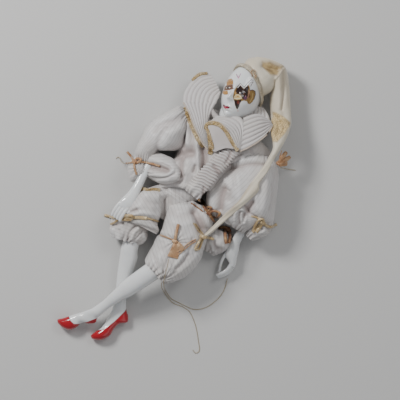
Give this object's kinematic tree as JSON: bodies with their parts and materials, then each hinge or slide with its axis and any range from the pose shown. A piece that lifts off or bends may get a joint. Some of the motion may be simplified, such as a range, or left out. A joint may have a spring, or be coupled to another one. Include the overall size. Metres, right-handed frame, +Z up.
{
  "type": "jester doll",
  "caption": "Porcelain jester doll with a soft body, a long pointed cap, a wide corded collar and a puffed striped satin costume, lying on its back with crossed legs.",
  "frame": {"origin": "middle of the doll's outline on the surface it lies on", "axes": "+Y from the feet to the head, +X to the doll's left, +Z up from the surface, its face towards +Z"},
  "size_m": [0.2447, 0.474, 0.0695],
  "materials": {
    "porcelain": "glazed white porcelain",
    "painted_porcelain": "glazed porcelain, white legs with red painted shoes",
    "striped_satin": "white satin with fine grey stripes",
    "ribbed_satin": "grey-white satin with fine cross ribs",
    "cream_satin": "cream satin",
    "gold_lace": "dull gold braid",
    "copper_ribbon": "copper and gold metallic ribbon",
    "gold_thread": "metallic thread"
  },
  "bodies": {
    "root": {"head": "porcelain", "right_forearm": "porcelain", "left_forearm": "porcelain", "right_lower_leg": "painted_porcelain", "left_lower_leg": "painted_porcelain", "tunic": "striped_satin", "left_trouser_leg": "striped_satin", "right_trouser_leg": "striped_satin", "left_sleeve": "striped_satin", "right_sleeve": "striped_satin", "front_panel": "ribbed_satin", "cap": "cream_satin", "cap_lace": "gold_lace", "collar": "striped_satin", "right_cuff_bow": "copper_ribbon", "right_knee_bow": "copper_ribbon", "left_knee_bow": "copper_ribbon", "cap_tip_bow": "copper_ribbon", "waist_bow": "copper_ribbon", "hip_bow": "copper_ribbon", "left_cuff_bow": "copper_ribbon", "shoulder_bow": "copper_ribbon", "hand_thread": "gold_thread", "loose_thread": "gold_thread", "cuff_thread": "gold_thread", "shoulder_thread": "gold_thread"}
  },
  "joints": []
}
